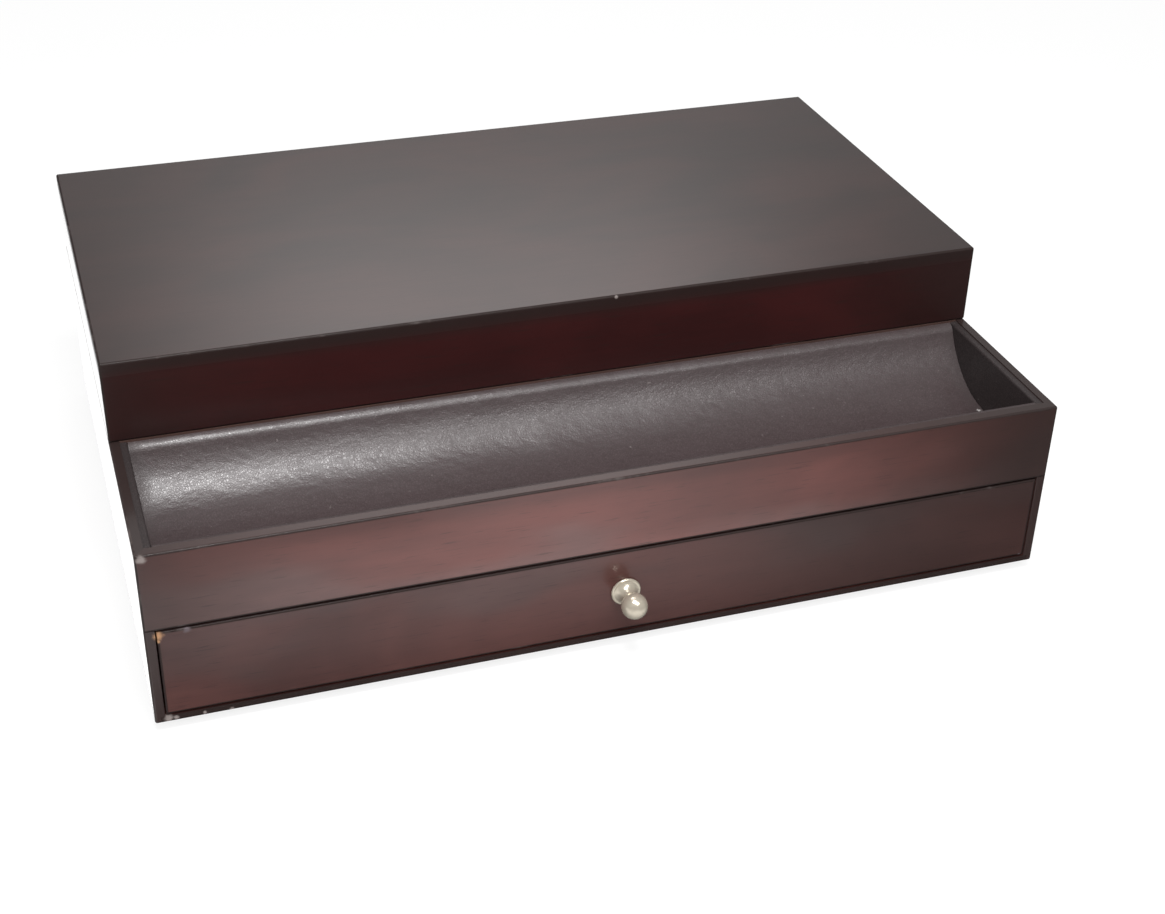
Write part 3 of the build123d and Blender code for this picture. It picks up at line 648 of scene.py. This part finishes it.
def settle(piece, name):
    """Name a piece and put its place into its mesh."""
    piece.name = name
    piece.data.name = name
    bpy.ops.object.transform_apply(location=True, rotation=True, scale=True)


def apply_all(piece):
    """Apply every modifier of the active piece."""
    for modifier in list(piece.modifiers):
        bpy.ops.object.modifier_apply(modifier=modifier.name)


def pick_edges(piece, test=lambda point: True, axis=None):
    """In edit mode, select only the edges whose ends pass a test and that run along a given axis."""
    bpy.ops.mesh.select_mode(type="EDGE")
    bpy.ops.mesh.select_all(action="DESELECT")
    mesh = bmesh.from_edit_mesh(piece.data)
    for edge in mesh.edges:
        run = edge.verts[0].co - edge.verts[1].co
        straight = axis is None or (run.length > 0 and abs(run[axis]) > 0.99 * run.length)
        edge.select_set(straight and all(test(v.co) for v in edge.verts))
    bmesh.update_edit_mesh(piece.data)


def near(value, target, slack=0.05 * MM):
    """Whether two lengths are the same but for rounding."""
    return abs(value - target) < slack


class WATCHBOX_OT_lacquered_boards(bpy.types.Operator):
    """Stain and lacquer the outer boards of the case, the lid and the drawer."""

    bl_idname = "watchbox.lacquered_boards"
    bl_label = "Lacquered Boards"

    def execute(self, context):
        wood = context.scene.watch_box.wood
        case_low = Vector((-HALF_WIDTH, CASE_LOW.y, CASE_LOW.z))
        case_high = Vector((HALF_WIDTH, CASE_HIGH.y, RIM))
        lid_low = Vector((-HALF_WIDTH, LID_LOW.y, LID_FOOT))
        rail_low = Vector((-HALF_WIDTH, CASE_LOW.y, RAIL_FOOT))

        def mark(x, z, radius, tint, y=CASE_LOW.y):
            """A mark of wear: its place, its radius and what shows there."""
            return Vector((x, y, z)), radius, tint

        rim_corner = mark(-HALF_WIDTH + 2.2 * MM, RIM - 1.4 * MM, 2.0 * MM, wood.worn)
        corner = mark(FRONT_LOW.x + 0.5 * MM, FRONT_HIGH.z - 1.1 * MM, 2.2 * MM, wood.bare)
        drawer_marks = [
            corner,
            mark(FRONT_LOW.x + 0.3 * MM, FRONT_HIGH.z - 3.4 * MM, 0.9 * MM, wood.bare),
            mark(FRONT_LOW.x + 9.5 * MM, FRONT_HIGH.z - 0.5 * MM, 1.7 * MM, wood.bloom),
            mark(FRONT_HIGH.x - 1.7 * MM, FRONT_LOW.z + 0.2 * MM, 0.8 * MM, wood.bloom),
        ]
        base_marks = [
            mark(FRONT_LOW.x + away * MM, CASE_LOW.z + up * MM, radius * MM, wood.worn)
            for away, up, radius in ((0.4, 1.6, 2.1), (3.0, 1.4, 1.1), (12.2, 1.2, 0.9), (20.9, 0.6, 1.0))
        ]
        nick = mark(18.4 * MM, LID_HIGH.z - 0.6 * MM, 0.9 * MM, wood.worn, LID_LOW.y)
        case = ((wood.case_dark, wood.case_light), case_low, case_high, wood)
        rail = (case[0], rail_low, case_high, wood)
        lid = ((wood.lid_dark, wood.lid_light), lid_low, LID_HIGH, wood)
        drawer = ((wood.drawer_dark, wood.drawer_light), FRONT_LOW, FRONT_HIGH, wood)
        top = (wood.top_dark, wood.top_light)
        # Ends, lean and crown are painted shade: darker toward the ends, lightest where the light falls, and
        # darker under the top edges
        rail_look = {"ends": 0.85, "lean": -15 * MM, "crown": 0.35, "cuts": (0.7, 0)}
        side_look = {"ends": 0.2, "cuts": (1.0, 0.9)}
        drawer_look = {"ends": 0.6, "lean": -85 * MM, "coat": 0.6}
        lid_look = {"ends": 0.6, "crown": 0.9, "coat": SIDE_COAT}
        give(lacquer("rail_lacquer", *rail, **rail_look, chips=[rim_corner, corner]), "front_rail")
        give(lacquer("back_lacquer", *case), "back_panel")
        give(lacquer("base_lacquer", *case, coat=0.5, cuts=(0, 1.0), chips=base_marks), "base_board")
        sides = lacquer("side_lacquer", *case, "Y", **side_look, chips=[rim_corner, corner, base_marks[0]])
        give(sides, "side_panel_left", "side_panel_right")
        give(lacquer("drawer_lacquer", *drawer, **drawer_look, chips=drawer_marks), "drawer_front")
        give(lacquer("lid_top_lacquer", *lid, ends=0.4, crown=0.9, face=top, chips=[nick]), "lid_top")
        give(lacquer("lid_lacquer", *lid, **lid_look, chips=[nick]), "lid_front", "lid_back")
        give(lacquer("lid_side_lacquer", *lid, "Y", 0.2), "lid_left", "lid_right")
        return {"FINISHED"}


class WATCHBOX_OT_inner_boards(bpy.types.Operator):
    """Stain the boards inside the case and of the drawer's box."""

    bl_idname = "watchbox.inner_boards"
    bl_label = "Inner Boards"

    def execute(self, context):
        colour = context.scene.watch_box.wood.dull
        along = dull_board("dull_board_along", colour, "X")
        give(along, "deck_board", "drawer_back", "drawer_stop", "drawer_bottom")
        give(dull_board("dull_board_sides", colour, "Y"), "drawer_side_left", "drawer_side_right")
        give(dull_board("dull_partition", colour, "X"), "partition")
        return {"FINISHED"}


class WATCHBOX_OT_tray_lining(bpy.types.Operator):
    """Model the covered trough of the pen tray, with its rolled lips, in the place of the plain one."""

    bl_idname = "watchbox.tray_lining"
    bl_label = "Pen Tray Lining"

    def execute(self, context):
        settings = context.scene.watch_box.leatherette
        shell, roll = settings.shell, settings.rear_roll
        low, high = TROUGH_LOW, TROUGH_HIGH
        lip_front = low.y + settings.front_flange
        half_chord = (high.y - settings.rear_flange - lip_front) / 2
        depth = high.z - shell - low.z
        radius = (half_chord**2 + depth**2) / (2 * depth)
        middle = Vector((0, lip_front + half_chord, high.z - depth + radius))
        crest = Vector((0, middle.y + math.sqrt(depth * (2 * (radius + roll) - depth)), high.z))
        turn_centre = crest - Vector((0, 0, roll))
        outward = (turn_centre - middle).normalized()
        meeting = middle + outward * radius
        deselect()
        bpy.ops.mesh.primitive_cylinder_add(
            vertices=TROUGH_SIDES,
            radius=radius,
            depth=high.x - low.x,
            end_fill_type="NOTHING",
            location=middle,
            rotation=(0, math.pi / 2, 0),
        )
        trough = context.object
        settle(trough, "tray_lining")
        bpy.ops.object.mode_set(mode="EDIT")
        bpy.ops.mesh.select_all(action="SELECT")
        bpy.ops.mesh.bisect(plane_co=(0, 0, high.z), plane_no=(0, 0, 1), clear_outer=True)
        bpy.ops.mesh.select_all(action="SELECT")
        bpy.ops.mesh.bisect(plane_co=meeting, plane_no=(0, -outward.z, outward.y), clear_outer=True)
        pick_edges(trough, lambda co: near(co.y, meeting.y) and near(co.z, meeting.z))
        angle = math.atan2(outward.y, -outward.z)
        bpy.ops.mesh.spin(steps=LIP_SIDES, angle=angle, center=turn_centre, axis=(1, 0, 0))
        bpy.ops.mesh.select_all(action="SELECT")
        bpy.ops.mesh.bisect(plane_co=high, plane_no=(0, 1, 0), clear_outer=True)
        pick_edges(trough, lambda co: near(co.z, high.z) and near(co.y, lip_front))
        bpy.ops.mesh.extrude_region_move(TRANSFORM_OT_translate={"value": (0, low.y - lip_front, 0)})
        pick_edges(trough, lambda co: near(co.z, high.z) and near(co.y, lip_front))
        bpy.ops.mesh.bevel(offset=settings.front_lip, segments=BEVEL_SIDES, profile=0.5, affect="EDGES")
        pick_edges(trough, axis=0)
        bpy.ops.mesh.subdivide(number_cuts=TROUGH_CUTS)
        bpy.ops.mesh.select_all(action="SELECT")
        bpy.ops.mesh.normals_make_consistent(inside=False)
        bpy.ops.object.mode_set(mode="OBJECT")
        facing_up = sum(p.normal.z * p.area for p in trough.data.polygons) > 0
        thicken = trough.modifiers.new("Board", "SOLIDIFY")
        thicken.thickness = shell
        thicken.offset = -1 if facing_up else 1
        apply_all(trough)
        self.wander(trough, middle, settings)
        finish_piece(trough, "case", "leatherette", "tray_trough")
        return {"FINISHED"}

    def wander(self, trough, middle, settings):
        """Let the glued covering wander a little, except along the trough's ends and its underside."""
        bed = TROUGH_LOW.z + settings.shell * 0.9
        rim = TROUGH_HIGH.z - 0.4 * MM
        end = TROUGH_HIGH.x - 0.2 * MM
        long_waves, short_waves = COVER_WAVES
        for vertex in trough.data.vertices:
            near_rim = vertex.co.z > rim
            drift = noise.noise(vertex.co * long_waves) + 0.5 * noise.noise(vertex.co * short_waves)
            lift = -abs(drift) if near_rim else drift
            toward = (middle - Vector((0, vertex.co.y, vertex.co.z))).normalized()
            toward.x = 0
            if vertex.co.z > bed and abs(vertex.co.x) < end:
                vertex.co += (Vector((0, 0, 1)) if near_rim else toward) * lift * settings.unevenness
            vertex.co.y = min(vertex.co.y, TROUGH_HIGH.y)


def finish_piece(piece, body, slot, *nodes):
    """Smooth a new piece, fix it to its body and let it stand for its nodes."""
    select_only(piece)
    bpy.ops.object.mode_set(mode="EDIT")
    bpy.ops.mesh.select_all(action="SELECT")
    bpy.ops.mesh.normals_make_consistent(inside=False)
    bpy.ops.object.mode_set(mode="OBJECT")
    bpy.ops.object.shade_smooth_by_angle(angle=SHARP)
    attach(piece, body)
    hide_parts(*nodes)


class WATCHBOX_OT_leatherette(bpy.types.Operator):
    """Cover the tray, the bay's boards and the dividers."""

    bl_idname = "watchbox.leatherette"
    bl_label = "Leatherette"

    def execute(self, context):
        settings = context.scene.watch_box.leatherette
        bed_end = Vector((TROUGH_HIGH.x, 0, TROUGH_LOW.z + settings.shell))
        fleck = (bed_end + Vector(settings.fleck), settings.fleck_radius)
        cover = ((settings.crease, settings.colour), settings.pebble, settings.relief)
        place = ((TROUGH_LOW, TROUGH_HIGH), settings.front_flange)
        give(leatherette("tray_leatherette", *cover, settings.roughness, [fleck], *place), "tray_lining")
        # A darker copy of the covering: partly its own tone, partly painted shade on the upright boards
        dark = [(settings.board_crease, settings.board_colour), *cover[1:]]
        dull = leatherette("board_leatherette", *dark, settings.roughness + 0.2)
        give(dull, "tray_end_left", "tray_end_right", "long_divider")
        give(dull, "bay_liner_front", "bay_liner_back", "bay_liner_left", "bay_liner_right")
        give(dull, *(f"cross_divider_{number}" for number in DIVIDERS))
        return {"FINISHED"}


class WATCHBOX_OT_watch_cushions(bpy.types.Operator):
    """Stuff one watch cushion by simulation, cord its seams and set a copy in every pocket."""

    bl_idname = "watchbox.watch_cushions"
    bl_label = "Watch Cushions"

    def execute(self, context):
        settings = context.scene.watch_box.cushion
        low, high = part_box("watch_cushion_1")
        body = self.unstuffed(context, low, high, settings)
        self.stuff(context, body, settings)
        self.fit(body, low, high)
        bpy.ops.object.modifier_add(type="SUBSURF")
        body.modifiers[-1].levels = 1
        body.modifiers[-1].render_levels = 1
        apply_all(body)
        self.seat(body, low.z + settings.footing)
        self.add_welts(body, low, high, settings)
        embossing = context.scene.watch_box.leatherette
        colours = (settings.crease, settings.colour)
        pebble, relief = embossing.pebble * 0.9, embossing.relief * 0.6
        cover = leatherette("cushion_leatherette", colours, pebble, relief, 0.5)
        centre = (low + high) / 2
        chance = random.Random(context.scene.watch_box.stage.seed)
        for number in CUSHIONS:
            node = f"watch_cushion_{number}"
            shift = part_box(node)[0] - low
            copy = double(body, f"stuffed_cushion_{number}")
            flip_x, flip_y = chance.choice((-1, 1)), chance.choice((-1, 1))
            for vertex in copy.data.vertices:
                vertex.co.x = centre.x + flip_x * (vertex.co.x - centre.x)
                vertex.co.y = centre.y + flip_y * (vertex.co.y - centre.y)
                vertex.co += shift
            finish_piece(copy, "case", "cushion_cover", node)
            give(cover, copy.name)
        bpy.data.objects.remove(body)
        return {"FINISHED"}

    def unstuffed(self, context, low, high, settings):
        """The cut and sewn shape before it is stuffed: a block with rounded long edges."""
        slack = Vector((settings.slack, settings.slack, settings.slack))
        start_low, start_high = low + slack, high - slack
        start_low.z = low.z
        deselect()
        bpy.ops.mesh.primitive_cube_add(
            size=1, location=(start_low + start_high) / 2, scale=start_high - start_low
        )
        body = context.object
        settle(body, "cushion_pattern")
        bpy.ops.object.mode_set(mode="EDIT")
        pick_edges(body, lambda co: near(co.z, start_high.z), axis=0)
        bpy.ops.mesh.bevel(offset=settings.rounding, segments=BEVEL_SIDES, profile=0.5, affect="EDGES")
        bpy.ops.mesh.select_all(action="SELECT")
        bpy.ops.object.mode_set(mode="OBJECT")
        body.data.remesh_voxel_size = settings.grid
        bpy.ops.object.voxel_remesh()
        return body

    def stuff(self, context, body, settings):
        """Blow the cover up like stuffing would, and cap how far it moves."""
        rest = [vertex.co.copy() for vertex in body.data.vertices]
        cloth = body.modifiers.new("Stuffing", "CLOTH")
        cloth.settings.use_pressure = True
        cloth.settings.uniform_pressure_force = settings.pressure
        cloth.settings.effector_weights.gravity = 0
        scene = context.scene
        for number in range(1, STUFFING_FRAMES + 1):
            scene.frame_set(number)
        apply_all(body)
        scene.frame_set(1)
        for vertex, start in zip(body.data.vertices, rest):
            move = vertex.co - start
            if move.length > settings.swell:
                vertex.co = start + move.normalized() * settings.swell

    def fit(self, body, low, high):
        """Ease the cushion into the room of its pocket."""
        lows = Vector(min(v.co[i] for v in body.data.vertices) for i in range(3))
        highs = Vector(max(v.co[i] for v in body.data.vertices) for i in range(3))
        for vertex in body.data.vertices:
            for i in range(3):
                share = (vertex.co[i] - lows[i]) / (highs[i] - lows[i])
                vertex.co[i] = low[i] + share * (high[i] - low[i])

    def seat(self, body, floor):
        """Flatten the cushion where it stands on the padded floor."""
        for vertex in body.data.vertices:
            vertex.co.z = max(vertex.co.z, floor)

    def add_welts(self, body, low, high, settings):
        """Cord the seam round each end, following the stuffed shape."""
        for plane_x in (low.x + settings.welt_inset, high.x - settings.welt_inset):
            seam = double(body, "cushion_seam")
            select_only(seam)
            bpy.ops.object.mode_set(mode="EDIT")
            bpy.ops.mesh.select_all(action="SELECT")
            bpy.ops.mesh.bisect(
                plane_co=(plane_x, 0, 0), plane_no=(1, 0, 0), clear_inner=True, clear_outer=True
            )
            bpy.ops.object.mode_set(mode="OBJECT")
            bpy.ops.object.convert(target="CURVE")
            seam = bpy.context.object
            seam.data.bevel_depth = settings.welt
            seam.data.bevel_resolution = 2
            bpy.ops.object.convert(target="MESH")
            seam = bpy.context.object
            select_only(body)
            seam.select_set(True)
            bpy.ops.object.join()


class WATCHBOX_OT_velvet_pads(bpy.types.Operator):
    """Lay a soft-edged velvet pad in the lid, the bay and the drawer."""

    bl_idname = "watchbox.velvet_pads"
    bl_label = "Velvet Pads"

    def execute(self, context):
        settings = context.scene.watch_box.velvet
        cover = velvet("dark_velvet", settings)
        pads = (("bay_floor_pad", "case", 1), ("drawer_floor_pad", "drawer", 1), ("lid_lining", "lid", -1))
        for node, body, up in pads:
            pad = self.pad(context, node, up, settings)
            finish_piece(pad, body, "velvet", node)
            give(cover, pad.name)
        return {"FINISHED"}

    def pad(self, context, node, up, settings):
        """A pad that fills its node's room, rounded along the edge of its open face."""
        low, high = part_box(node)
        deselect()
        bpy.ops.mesh.primitive_cube_add(size=1, location=(low + high) / 2, scale=high - low)
        pad = context.object
        settle(pad, f"velvet_{node}")
        open_z = high.z if up > 0 else low.z
        bpy.ops.object.mode_set(mode="EDIT")
        for axis in (0, 1):
            pick_edges(pad, axis=axis)
            bpy.ops.mesh.subdivide(number_cuts=PAD_CUTS)
        pick_edges(
            pad,
            lambda co: near(co.z, open_z)
            and (near(abs(co.x), high.x) or near(co.y, low.y) or near(co.y, high.y)),
        )
        bpy.ops.mesh.bevel(offset=settings.edge, segments=3, profile=0.5, affect="EDGES")
        bpy.ops.object.mode_set(mode="OBJECT")
        for vertex in pad.data.vertices:
            if near(vertex.co.z, open_z):
                vertex.co.z -= up * settings.ripple * (0.5 + 0.5 * noise.noise(vertex.co * VELVET_WAVES))
        return pad


class WATCHBOX_OT_hardware(bpy.types.Operator):
    """Finish the knob, the hinges, the screws and the feet."""

    bl_idname = "watchbox.hardware"
    bl_label = "Knob, Hinges and Feet"

    def execute(self, context):
        metal = context.scene.watch_box.metal
        give(polished("satin_nickel", metal.nickel, roughness=0.18, smudge=0.10, metallic=0.62), "knob")
        brass = polished("hinge_brass", metal.brass, roughness=0.22, smudge=0.2)
        steel = polished("screw_steel", metal.steel, roughness=0.3, smudge=0.2)
        for side in ("left", "right"):
            give(brass, f"hinge_case_leaf_{side}", f"hinge_lid_leaf_{side}", f"hinge_pin_{side}")
        give(steel, "case_hinge_screws", "lid_hinge_screws", "knob_screw")
        feet = [f"foot_{end}_{side}" for end in ("front", "back") for side in ("left", "right")]
        give(rubber("foot_rubber", metal.rubber), *feet)
        return {"FINISHED"}


class WATCHBOX_OT_stage(bpy.types.Operator):
    """Lay the floor, hang the lamps and set the camera."""

    bl_idname = "watchbox.stage"
    bl_label = "Stage"

    def execute(self, context):
        settings = context.scene.watch_box.stage
        self.floor(context, settings)
        self.room(context, settings)
        self.lamp("overhead_lamp", *OVERHEAD_LAMP, settings.overhead)
        key = self.lamp("key_lamp", *KEY_LAMP, settings.key)
        key.visible_glossy = False
        self.lamp("side_lamp", *SIDE_LAMP, settings.side)
        self.camera(context, settings)
        context.scene.view_settings.view_transform = "Standard"
        return {"FINISHED"}

    def floor(self, context, settings):
        """A wide pale floor that keeps the object's shadow; in reflections it glows instead, with painted
        light and shade.
        """
        deselect()
        bpy.ops.mesh.primitive_plane_add(size=FLOOR_SIZE, location=(0, 0, 0))
        floor = context.object
        settle(floor, "studio_floor")
        finish = Finish("floor_paper")
        eye, mirrored = finish.rays()
        x, y = finish.axes()[:2]
        # Painted reflection: the floor glows in reflections, dimmer to the right and far left, with a
        # painted contact shadow in front of the case and painted light beside its left side
        painted_glow = finish.step(x, settings.shade_right, settings.shade_left)
        painted_glow = painted_glow * (finish.step(x, *LEFT_GAIN) * 0.6 + 0.4)
        painted_glow = painted_glow * finish.step(y, *NEAR_GAIN)
        painted_glow = painted_glow * (1 - finish.step(y, *FAR_LOSS) * finish.step(x, *FAR_LEFT_LOSS) * 0.6)
        beside = finish.step(x, *BESIDE)
        painted_glow = finish.math("MAXIMUM", painted_glow, beside)
        paper = finish.node("ShaderNodeBsdfDiffuse", {}, {"Color": (*settings.floor, 1)})
        close = beside - finish.step(x, *BEYOND)
        painted_glow = painted_glow * (1 - settings.floor_dim) + settings.floor_dim + close * settings.grazing
        level = eye * settings.white + mirrored * painted_glow
        white = finish.node("ShaderNodeEmission", {}, {"Color": (1, 1, 1, 1), "Strength": level})
        share = eye * settings.floor_glow + mirrored
        surface = finish.node("ShaderNodeMixShader", {}, {0: share, 1: paper, 2: white})
        finish.node("ShaderNodeOutputMaterial", {}, {"Surface": surface})
        give(finish.owner, floor.name)

    def room(self, context, settings):
        """White all round to the eye, and in reflections dimmer on the camera's side."""
        world = bpy.data.worlds.new("studio_room")
        context.scene.world = world
        finish = Finish("", world)
        eye, mirrored = finish.rays()
        x, y, z = finish.axes("Generated")
        ahead = finish.math("MAXIMUM", y, 0.1)
        slope = x / ahead
        across = finish.step(slope, *PATCH_ACROSS[0]) * (1 - finish.step(slope, *PATCH_ACROSS[1]))
        upward = finish.step(z, *PATCH_UPWARD[0]) * (1 - finish.step(z, *PATCH_UPWARD[1]) * 0.5)
        patch = across * upward * finish.step(y, 0.1, 0.4)
        room = patch * (settings.patch - settings.dim) + settings.dim
        level = eye + mirrored * room + (1 - eye - mirrored) * settings.fill
        light = finish.node("ShaderNodeBackground", {}, {"Color": (1, 1, 1, 1), "Strength": level})
        finish.node("ShaderNodeOutputWorld", {}, {"Surface": light})

    def lamp(self, name, place, target, size, power):
        """A soft lamp turned to a target."""
        turn = (Vector(place) - Vector(target)).to_track_quat("Z", "Y").to_euler()
        bpy.ops.object.light_add(type="AREA", location=place, rotation=turn)
        lamp = bpy.context.object
        lamp.name = name
        lamp.data.shape = "RECTANGLE"
        lamp.data.size, lamp.data.size_y = size
        lamp.data.energy = power
        lamp.visible_camera = False
        return lamp

    def camera(self, context, settings):
        """The photograph's point of view."""
        swing = Euler((0, 0, settings.azimuth)).to_matrix()
        tilt = Euler((math.pi / 2 - settings.elevation, 0, 0)).to_matrix()
        roll = Euler((0, 0, settings.roll)).to_matrix()
        bpy.ops.object.camera_add(location=settings.camera_place, rotation=(swing @ tilt @ roll).to_euler())
        camera = context.object
        camera.name = "photo_camera"
        camera.data.sensor_width = 36
        camera.data.lens = settings.lens
        camera.data.clip_start = 0.01
        context.scene.camera = camera


class WATCHBOX_PT_panel(bpy.types.Panel):
    """Lists the steps and their settings."""

    bl_label = "Watch Box"
    bl_idname = "WATCHBOX_PT_panel"
    bl_space_type = "VIEW_3D"
    bl_region_type = "UI"
    bl_category = "Watch Box"

    def draw(self, context):
        layout = self.layout
        for step in STEPS:
            layout.operator(step.bl_idname)
        for name in WatchBoxSettings.__annotations__:
            box = layout.box()
            group = getattr(context.scene.watch_box, name)
            box.label(text=name.capitalize())
            for key in group.__class__.__annotations__:
                box.prop(group, key)


STEPS = (
    WATCHBOX_OT_lacquered_boards,
    WATCHBOX_OT_inner_boards,
    WATCHBOX_OT_tray_lining,
    WATCHBOX_OT_leatherette,
    WATCHBOX_OT_watch_cushions,
    WATCHBOX_OT_velvet_pads,
    WATCHBOX_OT_hardware,
    WATCHBOX_OT_stage,
)
GROUPS = (
    WoodSettings,
    LeatheretteSettings,
    CushionSettings,
    VelvetSettings,
    MetalSettings,
    StageSettings,
    WatchBoxSettings,
)


def register():
    """Make the settings, the steps and the panel known, and hang the settings on the scene."""
    for group in (*GROUPS, *STEPS, WATCHBOX_PT_panel):
        bpy.utils.register_class(group)
    bpy.types.Scene.watch_box = PointerProperty(type=WatchBoxSettings)


def unregister():
    """Take the settings, the steps and the panel away again."""
    del bpy.types.Scene.watch_box
    for group in reversed((*GROUPS, *STEPS, WATCHBOX_PT_panel)):
        bpy.utils.unregister_class(group)


def main():
    """Run every step in order."""
    register()
    bpy.ops.watchbox.lacquered_boards()
    bpy.ops.watchbox.inner_boards()
    bpy.ops.watchbox.tray_lining()
    bpy.ops.watchbox.leatherette()
    bpy.ops.watchbox.watch_cushions()
    bpy.ops.watchbox.velvet_pads()
    bpy.ops.watchbox.hardware()
    bpy.ops.watchbox.stage()


if __name__ == "__main__":
    main()
